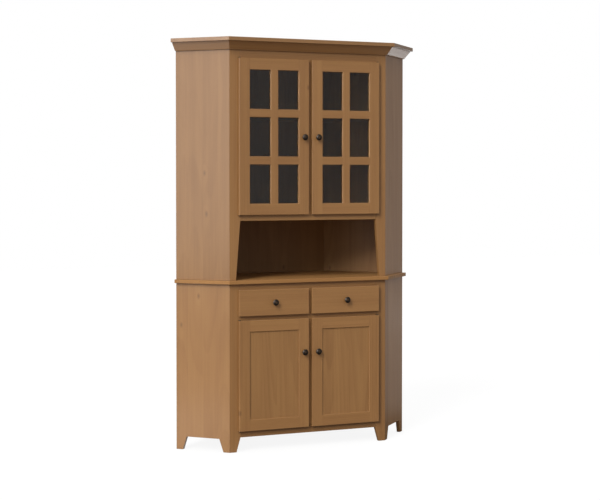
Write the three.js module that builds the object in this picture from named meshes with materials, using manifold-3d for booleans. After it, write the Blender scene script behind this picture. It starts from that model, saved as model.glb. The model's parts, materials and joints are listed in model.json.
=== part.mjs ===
// Corner cupboard: a glazed hutch on a base with two drawers and two panelled doors.
// Lengths are in millimetres, +Z is up and the front faces -Y. In plan the cupboard is a front,
// two side panels square to the walls of a room corner, two wall backs and a clipped rear corner.
// The origin is on the floor, at the middle of the plan's width and depth.

import * as THREE from 'three';
import { mergeVertices } from 'three/addons/utils/BufferGeometryUtils.js';
import Module from 'manifold-3d';

const wasm = await Module();
wasm.setup();

// Overall sizes
const overallHeight = 2083;
const counterHeight = 867;
const frontWidth = 871;
const sidePanelWidth = 298.5;
const wallBackWidth = 457;
const wallTurn = Math.PI / 4;

// Boards
const boardThickness = 19;
const backThickness = 9;
const frameThickness = 19;
const counterThickness = 19;
const counterOverhang = 20;
const capThickness = 20;
const capOverhang = 57;
const easedEdge = 1.5;

// Face frames
const stileWidth = 57;
const nicheStileFoot = 34;
const centreStileWidth = 43;
const bottomRailWidth = 44;
const drawerRailWidth = 46;
const baseTopRailWidth = 42;
const drawerOpeningHeight = 108;
const nicheHeight = 299;
const nicheRailWidth = 41;
const hutchTopRailWidth = 93;

// Feet
const frontClearance = 74;
const sideClearance = 66.5;
const sideFootTop = 59;
const footSole = 36;
const rearFootTop = 57;

// Crown moulding
const crownHeight = 39;
const crownFootReach = 9.5;
const crownTopReach = 43;
const crownBead = 1.5;

// Doors and drawer fronts
const frontThickness = 19;
const overlay = 12;
const bumperGap = 1.5;
const doorStileWidth = 57;
const muntinWidth = 41;
const lightColumns = 2;
const lightRows = 3;
const glassThickness = 3;
const glassLip = 10;
const glassRebate = 9;
const panelThickness = 6;
const panelRecess = 6;
const panelGroove = 9;

// Pivot hinges
const pinRadius = 2;
const pinLength = 8;
const pinInset = 5;
const pinFromBack = 12;
const pinClearance = 0.3;
const leafThickness = 2.5;
const leafWidth = 9;
const leafDepth = 14;

// Drawers
const drawerDepth = 400;
const drawerWall = 12;
const drawerBottom = 6;
const drawerBottomRaise = 8;
const drawerSideGap = 3;
const drawerTopGap = 10;
const runningGap = 0.5;
const guideHeight = 15;
const guideWidth = 18;

// Knobs
const knobHeadRadius = 16;
const knobHeadHalfHeight = 6.5;
const knobReach = 24;
const knobNeckRadius = 5.5;
const knobRoseRadius = 9.5;
const knobRoseHeight = 2.5;
const knobRoseStep = 1;
const knobGrooveRadius = 11;
const knobGrooveWidth = 1.6;
const knobGrooveDepth = 0.5;
const lowerKnobDrop = 172;

// Clearances and counts
const fit = 0.3;
const overrun = 2;
const weld = 0.001;
const roundSteps = 24;
const pinSteps = 16;
const arcSteps = 8;

// Finishes
const stainedWood = { color: 0x8f6441, roughness: 0.45, metalness: 0 };
const darkBronze = { color: 0x3b3028, roughness: 0.4, metalness: 0.9 };
const clearGlass = { color: 0xcfd8d6, roughness: 0.05, metalness: 0, transparent: true, opacity: 0.35 };
const steel = { color: 0x6d675f, roughness: 0.35, metalness: 1 };

// Heights along the front, from the floor up
const counterUnderside = counterHeight - counterThickness;
const floorTop = frontClearance + bottomRailWidth;
const floorUnderside = floorTop - boardThickness;
const drawerOpeningTop = counterUnderside - baseTopRailWidth;
const drawerOpeningBottom = drawerOpeningTop - drawerOpeningHeight;
const drawerRailBottom = drawerOpeningBottom - drawerRailWidth;
const nicheTop = counterHeight + nicheHeight;
const hutchFloorTop = nicheTop + nicheRailWidth;
const capUnderside = overallHeight - capThickness;
const hutchOpeningTop = capUnderside - hutchTopRailWidth;
const crownBottom = capUnderside - crownHeight;

// Places across the right half of the front
const halfFront = frontWidth / 2;
const openingOuter = halfFront - stileWidth;
const openingInner = centreStileWidth / 2;
const doorOuter = openingOuter + overlay;
const doorInner = openingInner - overlay;

// Depths: y is zero on the front of the face frame
const doorBack = -bumperGap;
const doorFront = doorBack - frontThickness;
const pinX = doorOuter - pinInset;
const pinY = doorBack - pinFromBack;
const halfTurnLean = Math.tan(wallTurn / 2);

// The plan's right half: where the front meets the side, the side the wall, the wall the rear
const frontRun = new THREE.Vector2(1, 0);
const sideRun = new THREE.Vector2(Math.cos(wallTurn), Math.sin(wallTurn));
const wallRun = new THREE.Vector2(-Math.sin(wallTurn), Math.cos(wallTurn));
const frontCorner = new THREE.Vector2(halfFront, 0);
const wallCorner = frontCorner.clone().addScaledVector(sideRun, sidePanelWidth);
const rearCorner = wallCorner.clone().addScaledVector(wallRun, wallBackWidth);

// Where the line through a along u crosses the line through b along v
function crossing(a, u, b, v) {
  const apart = b.clone().sub(a);
  const along = apart.cross(v) / u.cross(v);
  return a.clone().addScaledVector(u, along);
}

// The plan's three right-hand corners with each edge moved inwards by its own inset
function planCorners({ front = 0, side = 0, wall = 0, rear = 0 }) {
  const onFront = new THREE.Vector2(0, front);
  const onSide = frontCorner.clone().addScaledVector(wallRun, side);
  const onWall = wallCorner.clone().addScaledVector(sideRun, -wall);
  const onRear = new THREE.Vector2(0, rearCorner.y - rear);
  return [
    crossing(onFront, frontRun, onSide, sideRun),
    crossing(onSide, sideRun, onWall, wallRun),
    crossing(onWall, wallRun, onRear, frontRun),
  ];
}

function rectangle(left, right, bottom, top) {
  return [
    new THREE.Vector2(left, bottom),
    new THREE.Vector2(right, bottom),
    new THREE.Vector2(right, top),
    new THREE.Vector2(left, top),
  ];
}

// A prism of an outline along +Z, with its long edges eased by a chamfer
function prism(shape, depth, eased = 0) {
  const geometry = new THREE.ExtrudeGeometry(shape, {
    depth: depth - 2 * eased,
    bevelEnabled: eased > 0,
    bevelThickness: eased,
    bevelSize: eased,
    bevelOffset: -eased,
    bevelSegments: 1,
    curveSegments: arcSteps,
  });
  return geometry.translate(0, 0, eased);
}

// A board lying flat over the whole plan, less the insets
function planBoard(insets, bottom, thickness, eased) {
  const right = planCorners(insets);
  const left = right.map((corner) => new THREE.Vector2(-corner.x, corner.y)).reverse();
  return prism(new THREE.Shape([...right, ...left]), thickness, eased).translate(0, 0, bottom);
}

// A board standing on edge: its outline is in X and Z, its face at y and its back behind that
function standingBoard(shape, y, thickness, eased) {
  return prism(shape, thickness, eased).rotateX(Math.PI / 2).translate(0, y + thickness, 0);
}

// Leans a standing board's upright edge: its vertices move by lean times their depth, and by a gap
function leanEdge(geometry, edge, lean, gap) {
  const position = geometry.attributes.position;
  for (let i = 0; i < position.count; i += 1) {
    if (Math.abs(position.getX(i) - edge) < weld) {
      position.setX(i, edge + lean * position.getY(i) + gap);
    }
  }
  return geometry;
}

// Sets a board that was drawn from x = 0 along the front onto the side panel's line
function ontoSide(geometry) {
  return geometry.rotateZ(wallTurn).translate(frontCorner.x, frontCorner.y, 0);
}

function block(x, y, z) {
  const size = [x, y, z].map(([low, high]) => high - low);
  const centre = [x, y, z].map(([low, high]) => (low + high) / 2);
  return new THREE.BoxGeometry(...size).translate(...centre);
}

function uprightPin(x, y, bottom, top, radius) {
  const pin = new THREE.CylinderGeometry(radius, radius, top - bottom, pinSteps);
  return pin.rotateX(Math.PI / 2).translate(x, y, (bottom + top) / 2);
}

function solidOf(geometry) {
  const bare = geometry.clone();
  bare.deleteAttribute('normal');
  bare.deleteAttribute('uv');
  const merged = mergeVertices(bare, weld);
  return new wasm.Manifold(new wasm.Mesh({
    numProp: 3,
    vertProperties: merged.attributes.position.array,
    triVerts: Uint32Array.from(merged.index.array),
  }));
}

function geometryOf(solid) {
  const mesh = solid.getMesh();
  const geometry = new THREE.BufferGeometry();
  geometry.setAttribute('position', new THREE.BufferAttribute(mesh.vertProperties, 3));
  geometry.setIndex(new THREE.BufferAttribute(mesh.triVerts, 1));
  return geometry.toNonIndexed();
}

function cut(geometry, ...tools) {
  const left = tools.reduce((solid, tool) => solid.subtract(solidOf(tool)), solidOf(geometry));
  return geometryOf(left);
}

function join(...geometries) {
  const [first, ...others] = geometries.map(solidOf);
  return geometryOf(others.reduce((solid, other) => solid.add(other), first));
}

// Carcass

// A side panel stands from the floor or the counter up, its front edge mitred to the face frame
function sidePanel(corners) {
  const board = standingBoard(new THREE.Shape(corners), 0, boardThickness);
  return ontoSide(leanEdge(board, 0, halfTurnLean, fit / Math.cos(wallTurn / 2)));
}

function baseSide() {
  const width = sidePanelWidth;
  const top = counterUnderside - fit;
  return sidePanel([
    new THREE.Vector2(0, 0),
    new THREE.Vector2(footSole, 0),
    new THREE.Vector2(sideFootTop, sideClearance),
    new THREE.Vector2(width - stileWidth, sideClearance),
    new THREE.Vector2(width - footSole, 0),
    new THREE.Vector2(width, 0),
    new THREE.Vector2(width, top),
    new THREE.Vector2(0, top),
  ]);
}

function hutchSide() {
  return sidePanel(rectangle(0, sidePanelWidth, counterHeight + fit, capUnderside - fit));
}

// A wall back runs along the wall, from the side panel's inner face to the mitre at the rear
function wallBack(bottom, top) {
  const outer = planCorners({ side: boardThickness + fit });
  const inner = planCorners({ side: boardThickness + fit, wall: backThickness, rear: backThickness });
  const atMitre = [outer[2], inner[2]].map((point) => point.addScaledVector(wallRun, -fit));
  return prism(new THREE.Shape([outer[1], ...atMitre, inner[1]]), top - bottom).translate(0, 0, bottom);
}

function rearBack(bottom, top) {
  const outer = planCorners({})[2];
  const inner = planCorners({ wall: backThickness, rear: backThickness })[2];
  const outline = new THREE.Shape([
    outer,
    new THREE.Vector2(-outer.x, outer.y),
    new THREE.Vector2(-inner.x, inner.y),
    inner,
  ]);
  return prism(outline, top - bottom).translate(0, 0, bottom);
}

// What lies inside the carcass stands off the frame, the sides and the backs by the fit
function insideBoard(bottom, eased = 0) {
  return planBoard({
    front: frameThickness + fit,
    side: boardThickness + fit,
    wall: backThickness + fit,
    rear: backThickness + fit,
  }, bottom, boardThickness, eased);
}

function overhangingBoard(bottom, thickness, reach) {
  return planBoard({ front: -reach, side: -reach }, bottom, thickness, easedEdge);
}

function rearFoot() {
  const top = floorUnderside - fit;
  const toSquare = Math.SQRT1_2;
  const room = backThickness + fit + rearFootTop * toSquare;
  const centre = planCorners({ wall: room, rear: room })[2];
  const foot = new THREE.CylinderGeometry(rearFootTop * toSquare, footSole * toSquare, top, 4);
  return foot.rotateY(Math.PI / 4).rotateX(Math.PI / 2).translate(centre.x, centre.y, top / 2);
}

// Face frames

// The slot that a hinge leaf is let into, cut across the front of a stile
function leafSlot(leafBottom) {
  return block(
    [pinX - leafWidth / 2 - fit, pinX + leafWidth / 2 + fit],
    [-overrun, leafDepth + fit],
    [leafBottom - fit, leafBottom + leafThickness + fit],
  );
}

function stile(corners, door) {
  const board = standingBoard(new THREE.Shape(corners), 0, frameThickness);
  leanEdge(board, halfFront, -halfTurnLean, 0);
  return cut(board, leafSlot(door.top + fit), leafSlot(door.bottom - fit - leafThickness));
}

function baseStile() {
  const top = counterUnderside - fit;
  return stile([
    new THREE.Vector2(halfFront - footSole, 0),
    new THREE.Vector2(halfFront, 0),
    new THREE.Vector2(halfFront, top),
    new THREE.Vector2(openingOuter, top),
    new THREE.Vector2(openingOuter, frontClearance),
  ], baseDoor);
}

function hutchStile() {
  const top = capUnderside - fit;
  const bottom = counterHeight + fit;
  return stile([
    new THREE.Vector2(halfFront - nicheStileFoot, bottom),
    new THREE.Vector2(halfFront, bottom),
    new THREE.Vector2(halfFront, top),
    new THREE.Vector2(openingOuter, top),
    new THREE.Vector2(openingOuter, nicheTop),
  ], hutchDoor);
}

function rail(bottom, top) {
  const end = openingOuter - fit;
  return standingBoard(new THREE.Shape(rectangle(-end, end, bottom, top)), 0, frameThickness);
}

// The rail and the centre stile of the base are halved into each other where they cross
function drawerRail() {
  const half = [frameThickness / 2, frameThickness + overrun];
  const reach = openingInner + fit;
  return cut(
    rail(drawerRailBottom, drawerOpeningBottom),
    block([-reach, reach], half, [drawerRailBottom - overrun, drawerOpeningBottom + overrun]),
  );
}

function centreStile(bottom, top) {
  const corners = rectangle(-openingInner, openingInner, bottom + fit, top - fit);
  return standingBoard(new THREE.Shape(corners), 0, frameThickness);
}

function baseCentreStile() {
  const half = [-overrun, frameThickness / 2 + fit];
  const across = [-openingInner - overrun, openingInner + overrun];
  return cut(
    centreStile(floorTop, drawerOpeningTop),
    block(across, half, [drawerRailBottom - fit, drawerOpeningBottom + fit]),
  );
}

// The panel under the drawers carries a guide on each side of both boxes
function drawerPanel() {
  const front = frameThickness + fit;
  const back = doorBack + drawerDepth;
  const height = [drawerOpeningBottom - overrun, drawerOpeningBottom + guideHeight];
  const middle = openingInner + drawerSideGap - runningGap;
  const outer = openingOuter - drawerSideGap + runningGap;
  return join(
    insideBoard(drawerOpeningBottom - boardThickness),
    block([-middle, middle], [front, back], height),
    block([outer, outer + guideWidth], [front, back], height),
    block([-outer - guideWidth, -outer], [front, back], height),
  );
}

// Crown

// A length of moulding along X: a bead at its foot, then a plain bevel up to the cap
function crownLength(length) {
  const profile = new THREE.Shape([
    new THREE.Vector2(fit, crownBottom),
    new THREE.Vector2(crownFootReach, crownBottom),
    new THREE.Vector2(crownFootReach, crownBottom + crownBead),
    new THREE.Vector2(crownTopReach, capUnderside - fit),
    new THREE.Vector2(fit, capUnderside - fit),
  ]);
  const towardsFront = new THREE.Vector3(0, -1, 0);
  const up = new THREE.Vector3(0, 0, 1);
  const lying = new THREE.Matrix4().makeBasis(towardsFront, up, new THREE.Vector3(-1, 0, 0));
  return prism(profile, length).applyMatrix4(lying).translate(length, 0, 0);
}

function crownFront() {
  const moulding = crownLength(frontWidth);
  leanEdge(moulding, 0, halfTurnLean, 0);
  leanEdge(moulding, frontWidth, -halfTurnLean, 0);
  return moulding.translate(-halfFront, 0, 0);
}

function crownSide() {
  const gap = fit / Math.cos(wallTurn / 2);
  return ontoSide(leanEdge(crownLength(sidePanelWidth), 0, halfTurnLean, gap));
}

// Doors and drawers

// Doors and drawer fronts lie over the edges of their openings
function front(openingBottom, openingTop) {
  return { bottom: openingBottom - overlay, top: openingTop + overlay };
}

const hutchDoor = front(hutchFloorTop, hutchOpeningTop);
const baseDoor = front(floorTop, drawerRailBottom);
const drawerFace = front(drawerOpeningBottom, drawerOpeningTop);

// The space inside a door's stiles and rails, grown on all four sides
function doorInside(door, growth) {
  return {
    x: [doorInner + doorStileWidth - growth, doorOuter - doorStileWidth + growth],
    z: [door.bottom + doorStileWidth - growth, door.top - doorStileWidth + growth],
  };
}

function pinSockets(door) {
  const radius = pinRadius + pinClearance;
  const depth = pinLength + fit;
  return [
    uprightPin(pinX, pinY, door.top - depth, door.top + overrun, radius),
    uprightPin(pinX, pinY, door.bottom - overrun, door.bottom + depth, radius),
  ];
}

// Cuts an opening right through a door frame and eases the opening's front edges
function throughFrame(x, z) {
  const grown = rectangle(x[0] - easedEdge, x[1] + easedEdge, z[0] - easedEdge, z[1] + easedEdge);
  const flareDepth = overrun + 2 * easedEdge;
  const flareFace = doorFront - overrun - easedEdge;
  return [
    block(x, [doorFront - overrun, doorBack + overrun], z),
    standingBoard(new THREE.Shape(grown), flareFace, flareDepth, easedEdge),
  ];
}

// A door or a drawer front before anything is cut in it
function doorBlank(door) {
  const outline = new THREE.Shape(rectangle(doorInner, doorOuter, door.bottom, door.top));
  return standingBoard(outline, doorFront, frontThickness, easedEdge);
}

// The lights between the muntins, in columns and rows of equal size
function lights() {
  const inside = doorInside(hutchDoor, 0);
  const [width, height] = [[inside.x, lightColumns], [inside.z, lightRows]].map(
    ([[low, high], count]) => (high - low - (count - 1) * muntinWidth) / count,
  );
  const openings = [];
  for (let column = 0; column < lightColumns; column += 1) {
    for (let row = 0; row < lightRows; row += 1) {
      const left = inside.x[0] + column * (width + muntinWidth);
      const bottom = inside.z[0] + row * (height + muntinWidth);
      openings.push({ x: [left, left + width], z: [bottom, bottom + height] });
    }
  }
  return openings;
}

function hutchDoorFrame() {
  const rebate = doorInside(hutchDoor, glassLip);
  return cut(
    doorBlank(hutchDoor),
    ...lights().flatMap(({ x, z }) => throughFrame(x, z)),
    block(rebate.x, [doorBack - glassRebate, doorBack + overrun], rebate.z),
    ...pinSockets(hutchDoor),
  );
}

function hutchDoorGlass() {
  const pane = doorInside(hutchDoor, glassLip - fit);
  const face = doorBack - glassRebate + fit;
  return block(pane.x, [face, face + glassThickness], pane.z);
}

function baseDoorFrame() {
  const inside = doorInside(baseDoor, 0);
  const groove = doorInside(baseDoor, panelGroove);
  const face = doorFront + panelRecess;
  return cut(
    doorBlank(baseDoor),
    ...throughFrame(inside.x, inside.z),
    block(groove.x, [face - fit, face + panelThickness + fit], groove.z),
    ...pinSockets(baseDoor),
  );
}

function baseDoorPanel() {
  const panel = doorInside(baseDoor, panelGroove - fit);
  const face = doorFront + panelRecess;
  return block(panel.x, [face, face + panelThickness], panel.z);
}

// A leaf let into the stile reaches out over the door's end, and its pin stands in the door
function hingeLeaf(leafBottom, pinDown) {
  const half = leafWidth / 2;
  const outline = new THREE.Shape();
  outline.moveTo(pinX + half, leafDepth);
  outline.lineTo(pinX - half, leafDepth);
  outline.lineTo(pinX - half, pinY);
  outline.absarc(pinX, pinY, half, Math.PI, 2 * Math.PI);
  const plate = prism(outline, leafThickness).translate(0, 0, leafBottom);
  const middle = leafBottom + leafThickness / 2;
  const reach = leafThickness / 2 + fit + pinLength;
  const [bottom, top] = pinDown ? [middle - reach, middle] : [middle, middle + reach];
  return join(plate, uprightPin(pinX, pinY, bottom, top, pinRadius));
}

// An open box whose bottom board is raised in grooves, so that only its sides run on the panel
function drawerBox() {
  const x = [openingInner + drawerSideGap, openingOuter - drawerSideGap];
  const y = [doorBack + fit, doorBack + fit + drawerDepth];
  const z = [drawerOpeningBottom + runningGap, drawerOpeningTop - drawerTopGap];
  const within = ([low, high]) => [low + drawerWall, high - drawerWall];
  const raised = z[0] + drawerBottomRaise;
  return cut(
    block(x, y, z),
    block(within(x), within(y), [raised + drawerBottom, z[1] + overrun]),
    block(within(x), within(y), [z[0] - overrun, raised]),
  );
}

// A turned knob: a stepped rose against the wood, a waisted neck and a domed head with a groove round it
function knob(x, z) {
  const headCentre = knobReach - knobHeadHalfHeight;
  const leanAt = (radius) => Math.acos(radius / knobHeadRadius);
  const heightAt = (radius) => knobHeadHalfHeight * Math.sin(leanAt(radius));
  const onHead = (from, to, steps) => new THREE.EllipseCurve(
    0, headCentre, knobHeadRadius, knobHeadHalfHeight, from, to,
  ).getPoints(steps);
  const waist = new THREE.QuadraticBezierCurve(
    new THREE.Vector2(knobRoseRadius - knobRoseStep, knobRoseHeight),
    new THREE.Vector2(knobNeckRadius, knobRoseHeight),
    new THREE.Vector2(knobNeckRadius, headCentre - heightAt(knobNeckRadius)),
  );
  const grooveFoot = headCentre + heightAt(knobGrooveRadius) - knobGrooveDepth;
  const profile = [
    new THREE.Vector2(0, 0),
    new THREE.Vector2(knobRoseRadius, 0),
    new THREE.Vector2(knobRoseRadius, knobRoseStep),
    ...waist.getPoints(arcSteps / 2).slice(0, -1),
    ...onHead(-leanAt(knobNeckRadius), leanAt(knobGrooveRadius + knobGrooveWidth / 2), arcSteps),
    new THREE.Vector2(knobGrooveRadius, grooveFoot),
    ...onHead(leanAt(knobGrooveRadius - knobGrooveWidth / 2), Math.PI / 2, arcSteps / 2).slice(0, -1),
    new THREE.Vector2(0, knobReach),
  ];
  const turned = new THREE.LatheGeometry(profile, roundSteps).rotateX(Math.PI);
  return turned.translate(x, doorFront - fit, z);
}

// Assembly

const cupboard = new THREE.Group();
const sides = { right: new THREE.Group(), left: new THREE.Group() };
sides.left.scale.x = -1;
cupboard.add(sides.right, sides.left);

function addPart(parent, name, geometry, finish) {
  geometry.computeVertexNormals();
  const mesh = new THREE.Mesh(geometry, new THREE.MeshStandardMaterial(finish));
  mesh.name = name;
  parent.add(mesh);
}

// The left half mirrors the right half about the cupboard's middle
function addPair(name, geometry, finish) {
  for (const [side, half] of Object.entries(sides)) {
    addPart(half, name.replace('SIDE', side), geometry.clone(), finish);
  }
}

function addBase() {
  const backBottom = sideClearance;
  const backTop = counterUnderside - fit;
  const shelfHeight = (floorTop + drawerRailBottom - boardThickness) / 2;
  addPair('base_side_SIDE', baseSide(), stainedWood);
  addPair('base_wall_back_SIDE', wallBack(backBottom, backTop), stainedWood);
  addPart(cupboard, 'base_rear_back', rearBack(backBottom, backTop), stainedWood);
  addPart(cupboard, 'base_floor', insideBoard(floorUnderside), stainedWood);
  addPart(cupboard, 'base_shelf', insideBoard(shelfHeight, easedEdge), stainedWood);
  addPart(cupboard, 'drawer_panel', drawerPanel(), stainedWood);
  const counter = overhangingBoard(counterUnderside, counterThickness, counterOverhang);
  addPart(cupboard, 'counter_board', counter, stainedWood);
  addPair('rear_foot_SIDE', rearFoot(), stainedWood);
  addPair('base_stile_SIDE', baseStile(), stainedWood);
  addPart(cupboard, 'base_centre_stile', baseCentreStile(), stainedWood);
  addPart(cupboard, 'base_top_rail', rail(drawerOpeningTop, counterUnderside - fit), stainedWood);
  addPart(cupboard, 'drawer_rail', drawerRail(), stainedWood);
  addPart(cupboard, 'base_bottom_rail', rail(frontClearance, floorTop), stainedWood);
}

function addHutch() {
  const backBottom = counterHeight + fit;
  const backTop = capUnderside - fit;
  addPair('hutch_side_SIDE', hutchSide(), stainedWood);
  addPair('hutch_wall_back_SIDE', wallBack(backBottom, backTop), stainedWood);
  addPart(cupboard, 'hutch_rear_back', rearBack(backBottom, backTop), stainedWood);
  addPair('hutch_stile_SIDE', hutchStile(), stainedWood);
  addPart(cupboard, 'hutch_centre_stile', centreStile(hutchFloorTop, hutchOpeningTop), stainedWood);
  addPart(cupboard, 'hutch_top_rail', rail(hutchOpeningTop, capUnderside - fit), stainedWood);
  addPart(cupboard, 'niche_rail', rail(nicheTop, hutchFloorTop), stainedWood);
  addPart(cupboard, 'hutch_floor', insideBoard(hutchFloorTop - boardThickness), stainedWood);
  const rowPitch = (hutchDoor.top - hutchDoor.bottom - 2 * doorStileWidth + muntinWidth) / lightRows;
  for (const [row, name] of ['lower', 'upper'].entries()) {
    const muntinMiddle = hutchDoor.bottom + doorStileWidth + (row + 1) * rowPitch - muntinWidth / 2;
    const shelf = insideBoard(muntinMiddle - boardThickness / 2, easedEdge);
    addPart(cupboard, `hutch_shelf_${name}`, shelf, stainedWood);
  }
}

function addCrown() {
  addPart(cupboard, 'crown_front', crownFront(), stainedWood);
  addPair('crown_side_SIDE', crownSide(), stainedWood);
  addPart(cupboard, 'crown_cap', overhangingBoard(capUnderside, capThickness, capOverhang), stainedWood);
}

function addHinges(name, door) {
  addPair(`${name}_SIDE_hinge_top`, hingeLeaf(door.top + fit, true), steel);
  addPair(`${name}_SIDE_hinge_bottom`, hingeLeaf(door.bottom - fit - leafThickness, false), steel);
}

function addDoors() {
  const knobX = doorInner + doorStileWidth / 2;
  addPair('hutch_door_SIDE_frame', hutchDoorFrame(), stainedWood);
  addPair('hutch_door_SIDE_glass', hutchDoorGlass(), clearGlass);
  addPair('hutch_door_SIDE_knob', knob(knobX, (hutchDoor.bottom + hutchDoor.top) / 2), darkBronze);
  addHinges('hutch_door', hutchDoor);
  addPair('base_door_SIDE_frame', baseDoorFrame(), stainedWood);
  addPair('base_door_SIDE_panel', baseDoorPanel(), stainedWood);
  addPair('base_door_SIDE_knob', knob(knobX, baseDoor.top - lowerKnobDrop), darkBronze);
  addHinges('base_door', baseDoor);
}

function addDrawers() {
  addPair('drawer_SIDE_front', doorBlank(drawerFace), stainedWood);
  addPair('drawer_SIDE_box', drawerBox(), stainedWood);
  const middle = (drawerFace.bottom + drawerFace.top) / 2;
  addPair('drawer_SIDE_knob', knob((doorInner + doorOuter) / 2, middle), darkBronze);
}

addBase();
addHutch();
addCrown();
addDoors();
addDrawers();
cupboard.position.y = (capOverhang - rearCorner.y) / 2;

export default cupboard;
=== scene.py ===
import json
import math
from functools import partial, reduce

import bmesh
import bpy
import numpy as np
from mathutils import Matrix, Vector


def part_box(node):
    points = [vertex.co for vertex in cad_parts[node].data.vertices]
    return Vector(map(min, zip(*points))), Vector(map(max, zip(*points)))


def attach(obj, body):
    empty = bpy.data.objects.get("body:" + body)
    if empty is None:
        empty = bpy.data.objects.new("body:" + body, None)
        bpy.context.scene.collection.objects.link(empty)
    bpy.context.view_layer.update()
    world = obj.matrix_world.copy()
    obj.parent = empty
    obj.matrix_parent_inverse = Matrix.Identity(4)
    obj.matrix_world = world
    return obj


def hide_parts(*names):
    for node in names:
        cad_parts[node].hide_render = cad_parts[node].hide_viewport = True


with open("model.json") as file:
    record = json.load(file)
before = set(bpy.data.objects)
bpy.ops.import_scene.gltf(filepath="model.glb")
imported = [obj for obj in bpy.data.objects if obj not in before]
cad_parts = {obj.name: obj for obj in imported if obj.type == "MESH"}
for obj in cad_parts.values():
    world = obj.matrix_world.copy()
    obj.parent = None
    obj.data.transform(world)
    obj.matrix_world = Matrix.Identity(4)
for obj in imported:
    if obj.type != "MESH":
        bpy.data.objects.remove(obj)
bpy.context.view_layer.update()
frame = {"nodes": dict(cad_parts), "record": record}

# Camera: the photograph's viewpoint, in metres, radians of turn and tilt, and millimetres of lens and sensor
CAMERA_PLACE = (-2.9595, -6.9581, 1.3899)
CAMERA_YAW = 0.4084
CAMERA_PITCH = -0.0263
CAMERA_LENS = 86.01
CAMERA_SENSOR = 36.0
CAMERA_SHIFT_UP = -0.06
CAMERA_REACH = 60.0

UP = (0.0, 0.0, 1.0)
ACROSS = (1.0, 0.0, 0.0)
BACKWARDS = (0.0, 1.0, 0.0)

# The axes of a form that lies flat on a face that looks backwards
ON_BACK = (ACROSS, UP, BACKWARDS)

# For each hand: along its side panel, along its wall back, and straight out of that back. The side panels
# stand at 45 degrees to the front, and the wall backs square to them.
SLANT = math.sqrt(0.5)
HANDS = {
    "right": ((SLANT, SLANT, 0.0), (-SLANT, SLANT, 0.0), (SLANT, SLANT, 0.0)),
    "left": ((SLANT, -SLANT, 0.0), (-SLANT, -SLANT, 0.0), (-SLANT, SLANT, 0.0)),
}

# Board widths in metres. A stave is one strip of a glued-up panel. The pattern of staves starts at one of a
# few steps.
STAVE = 0.085
WHOLE_BOARD = 10.0
STAVE_STEP = 0.031
STAVE_STEPS = 7

# Door frames: the width of the stiles and rails, and of the muntins between the lights
DOOR_STILE = 0.057
MUNTIN = 0.041
LIGHT_ROWS = 3
JOINT_LINE = 0.0004
JOINT_SHADE = 0.7

# Drawer boxes: the thickness of their walls, and the pitch, half share and flare of the dovetails
DRAWER_WALL = 0.012
TAIL_PITCH = 0.0245
TAIL_SHARE = 0.30
TAIL_FLARE = 0.09

# Nails in the back boards: radius of a head and of its full part, and the pitch and inset of a row
NAIL = 0.0026
NAIL_FULL = 0.85 * NAIL
NAIL_PITCH = 0.130
NAIL_INSET = 0.011
NAIL_FACE = 0.001
NAIL_METAL = 0.9
NAIL_SUNK = 2.0

# Knobs, as shares of the CAD knob's reach and radius
KNOB_STEPS = 56
KNOB_DOME = 0.27
KNOB_ROSE = 0.59
KNOB_NECK = 0.335
KNOB_UNDERSIDE = 1.15
KNOB_ROSE_HEIGHTS = (0.0, 0.0, 0.035, 0.055, 0.065, 0.095, 0.105)
KNOB_ROSE_RADII = (0.0, 0.97, 1.0, 1.0, 0.90, 0.86, 0.80)

# The groove's depth in metres, and its place and width as shares of the radius
KNOB_GROOVE = 0.0005
GROOVE_PLACE = 0.70
GROOVE_WIDTH = 0.045

# How much hands rub a knob at its rim, and a painted highlight in the middle of its dome: how much, and place
# and width as shares of the radius
KNOB_WEAR_AND_HIGHLIGHT = ((0.30, 0.93, 0.16), (0.80, 0.0, 0.55))

# Sharp and eased edges. A hair is the gap that keeps two faces from lying in one plane.
HAIR = 0.0001
WELD = HAIR / 100
SHARP = math.radians(38.0)
FLAT = math.radians(0.2)
EASED = 0.0007

# Screws by the radius of the head. The rest are shares of it, but the steps are a count and the bulge is a
# power. The recess stops at an arm's half width and at its reach, each with the width of its soft edge.
KNOB_SCREW = 0.0050
SMALL_SCREW = 0.0026
SCREW_STEPS = 48
WASHER_RADII = (0.0, 0.98, 1.0, 1.0, 0.97, 0.74)
WASHER_HEIGHTS = (0.0, 0.0, 0.02, 0.12, 0.15, 0.16)
SCREW_DOME = 0.72
SCREW_BULGE = 0.7
SCREW_FOOT = 0.22
SCREW_RISE = 0.40
RECESS_ARM = (0.12, 0.04)
RECESS_END = (0.46, 0.05)
RECESS_DEPTH = 0.26
RECESS_ABOVE = 0.3

# Glass beads: width, gap to the frame's back, round and flat shares of the section. Brads: radius, and how
# far a row is from the bead's edge and the corners.
BEAD_WIDTH = 0.0092
BEAD_GAP = 0.0004
BEAD_ROUND = 0.8
BEAD_FLAT = 0.2
BEAD_SEED = 71.0
BRAD = 0.0011
BRAD_STEPS = 10
BRAD_RADII = (0.0, 0.9, 1.0, 0.8, 0.0)
BRAD_HEIGHTS = (0.0, 0.0, 0.25, 0.45, 0.5)
BRAD_INSET = BEAD_WIDTH * 0.4
BRAD_FROM_SIDE = 0.03
BRAD_FROM_END = 0.05
BRADS_ACROSS = 4
BRADS_UP = 7

# Cleats under the shelves. A shelf's outline is uneased up to a share of its half thickness.
CLEAT_REACH = 0.014
CLEAT_DROP = 0.010
CLEAT_EASE = 0.002
CLEAT_SHORT = 0.1
CLEAT_UNEASED = 0.9
CLEAT_SEED = 73.0

# Felt pads
PAD_RADIUS = 0.0045
PAD_THICK = 0.0012
PAD_EDGE = 0.4 * PAD_THICK
PAD_STEPS = 28
PAD_INSET = 0.030
PAD_GAP = 0.0015

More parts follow.
